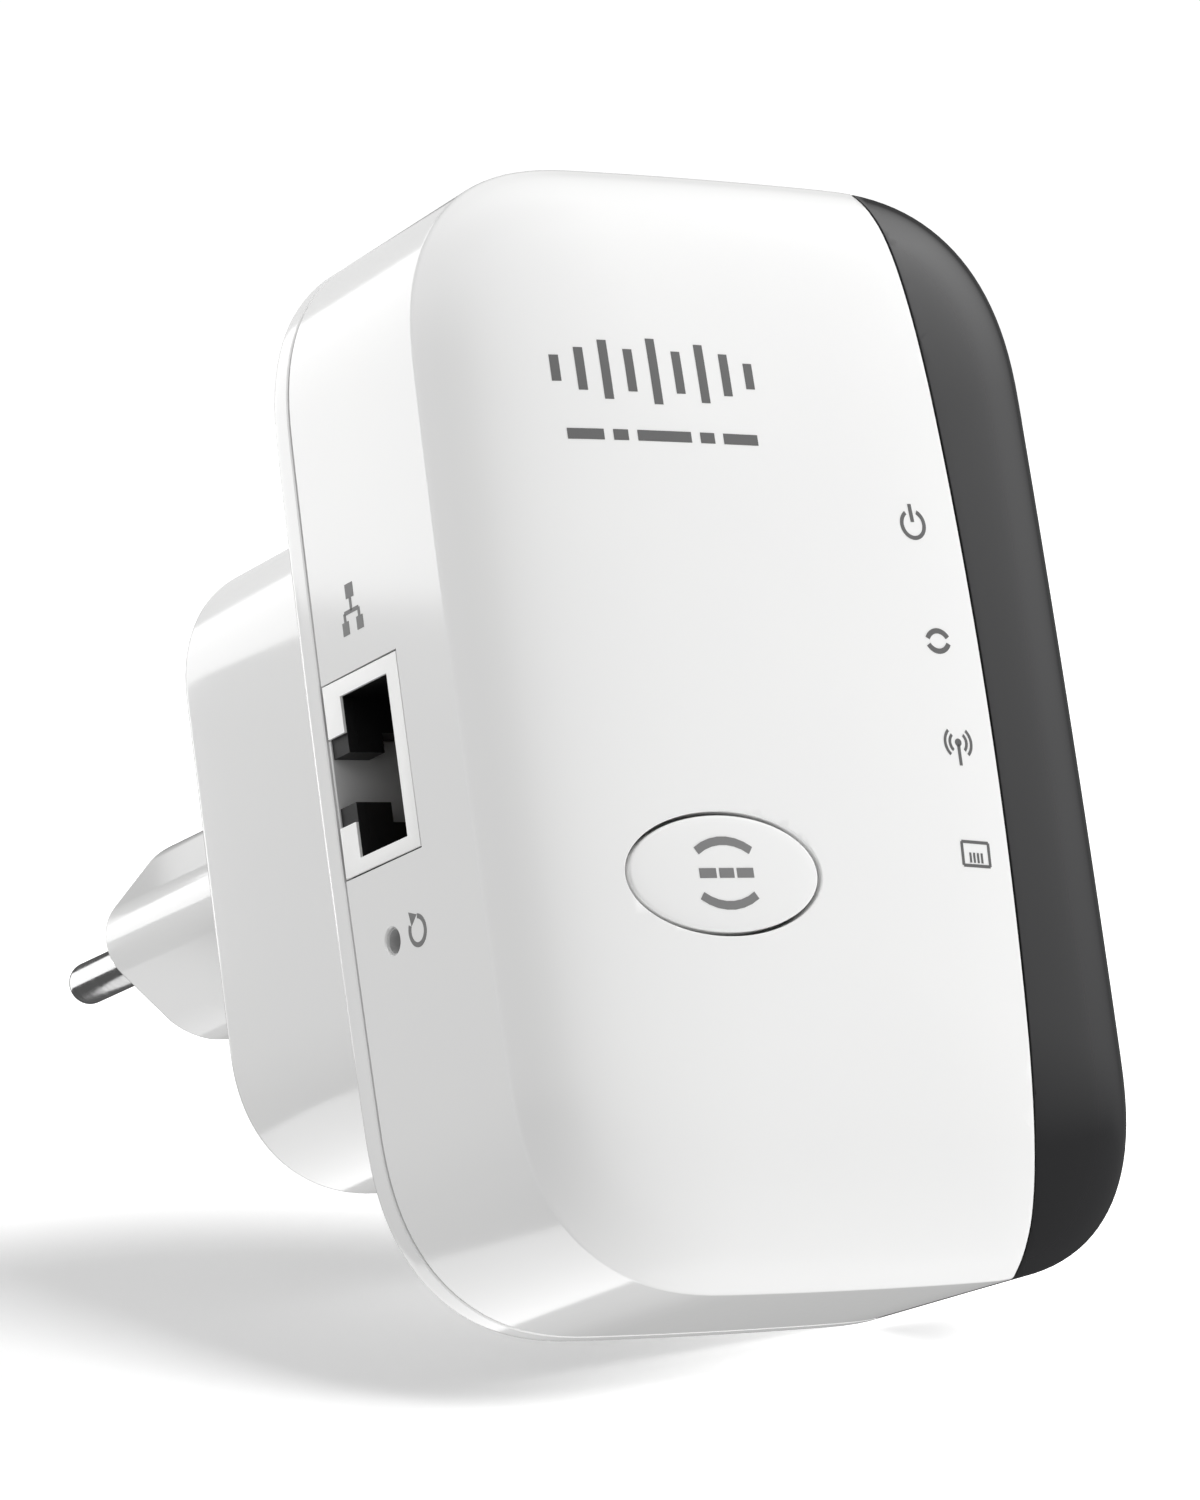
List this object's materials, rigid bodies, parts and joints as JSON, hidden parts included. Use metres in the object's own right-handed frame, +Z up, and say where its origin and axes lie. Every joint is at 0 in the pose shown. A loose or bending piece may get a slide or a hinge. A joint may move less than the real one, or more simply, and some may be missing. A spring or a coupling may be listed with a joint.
{
  "type": "wifi range extender",
  "caption": "Wall-plug network repeater: domed white case with a dark side strip, oval push button, network jack and reset pinhole on the left, and a rear plug block with round mains pins.",
  "frame": {"origin": "middle of the plug's flat end face, between the two mains pins", "axes": "+X to the right seen from the front, +Y towards the wall along the pins, +Z up"},
  "size_m": [0.0616, 0.1055, 0.0936],
  "materials": {
    "white_abs": "glossy moulded ABS",
    "white_nylon": "satin",
    "charcoal_acrylic": "glossy dark acrylic",
    "nickel_plate": "bright nickel plate on brass",
    "gold_plate": "gold flash on phosphor bronze",
    "black_nylon": "satin",
    "board_laminate": "green solder mask",
    "board_phenolic": "bare phenolic laminate",
    "tinned_steel": "tinned",
    "zinc_steel": "zinc plated",
    "chip_epoxy": "moulded epoxy",
    "clear_polycarbonate": "frosted clear",
    "lamp_resin": "lamp resin",
    "ferrite": "sintered",
    "coil_tape": "polyester tape",
    "capacitor_sleeve": "shrink sleeve",
    "fuse_ceramic": "lacquered",
    "wire_brown": "wire insulation",
    "wire_blue": "wire insulation",
    "wire_grey": "ribbon insulation"
  },
  "bodies": {
    "case": {"antenna_lead_left": "black_nylon", "antenna_lead_right": "black_nylon", "antenna_left": "tinned_steel", "antenna_right": "tinned_steel", "board_link": "wire_grey", "board_screw_1": "zinc_steel", "board_screw_2": "zinc_steel", "board_screw_3": "zinc_steel", "board_screw_4": "zinc_steel", "bridge_rectifier": "chip_epoxy", "bulk_capacitor": "capacitor_sleeve", "clock_crystal": "tinned_steel", "front_cover": "white_abs", "fuse_resistor": "fuse_ceramic", "jack_bezel": "white_nylon", "jack_body": "black_nylon", "jack_contact_1": "gold_plate", "jack_contact_2": "gold_plate", "jack_contact_3": "gold_plate", "jack_contact_4": "gold_plate", "jack_contact_5": "gold_plate", "jack_contact_6": "gold_plate", "jack_contact_7": "gold_plate", "jack_contact_8": "gold_plate", "lamp_link": "lamp_resin", "lamp_network": "lamp_resin", "lamp_power": "lamp_resin", "lamp_radio": "lamp_resin", "light_guide": "clear_polycarbonate", "line_choke": "ferrite", "main_board": "board_laminate", "memory_chip": "chip_epoxy", "network_transformer": "chip_epoxy", "output_capacitor": "capacitor_sleeve", "pin_left": "nickel_plate", "pin_right": "nickel_plate", "plug_housing": "white_abs", "power_board": "board_phenolic", "power_chip": "chip_epoxy", "radio_chip": "chip_epoxy", "rear_cover": "white_abs", "reset_switch_body": "black_nylon", "rf_shield": "tinned_steel", "side_trim": "charcoal_acrylic", "transformer_coil": "coil_tape", "transformer_core": "ferrite", "voltage_inductor": "ferrite", "wire_live": "wire_brown", "wire_neutral": "wire_blue", "wps_switch_body": "black_nylon"},
    "button": {"wps_button": "white_abs"},
    "button_plunger": {"wps_switch_plunger": "zinc_steel"},
    "reset_plunger": {"reset_switch_plunger": "white_nylon"}
  },
  "joints": [
    {"name": "button_press", "type": "slide", "parent": "case", "child": "button", "axis": [0, 1, 0], "range_m": [0, 0.0004], "stiffness_N_per_m": 1500, "springref_m": -0.0004},
    {"name": "button_switch_press", "type": "slide", "parent": "case", "child": "button_plunger", "axis": [0, 1, 0], "range_m": [0, 0.0004], "stiffness_N_per_m": 1500, "springref_m": -0.0004},
    {"name": "reset_press", "type": "slide", "parent": "case", "child": "reset_plunger", "axis": [1, 0, 0], "range_m": [0, 0.0003], "stiffness_N_per_m": 1500, "springref_m": -0.0004}
  ],
  "couplings": [
    {"joint": "button_switch_press", "follows": "button_press", "ratio": 1}
  ]
}
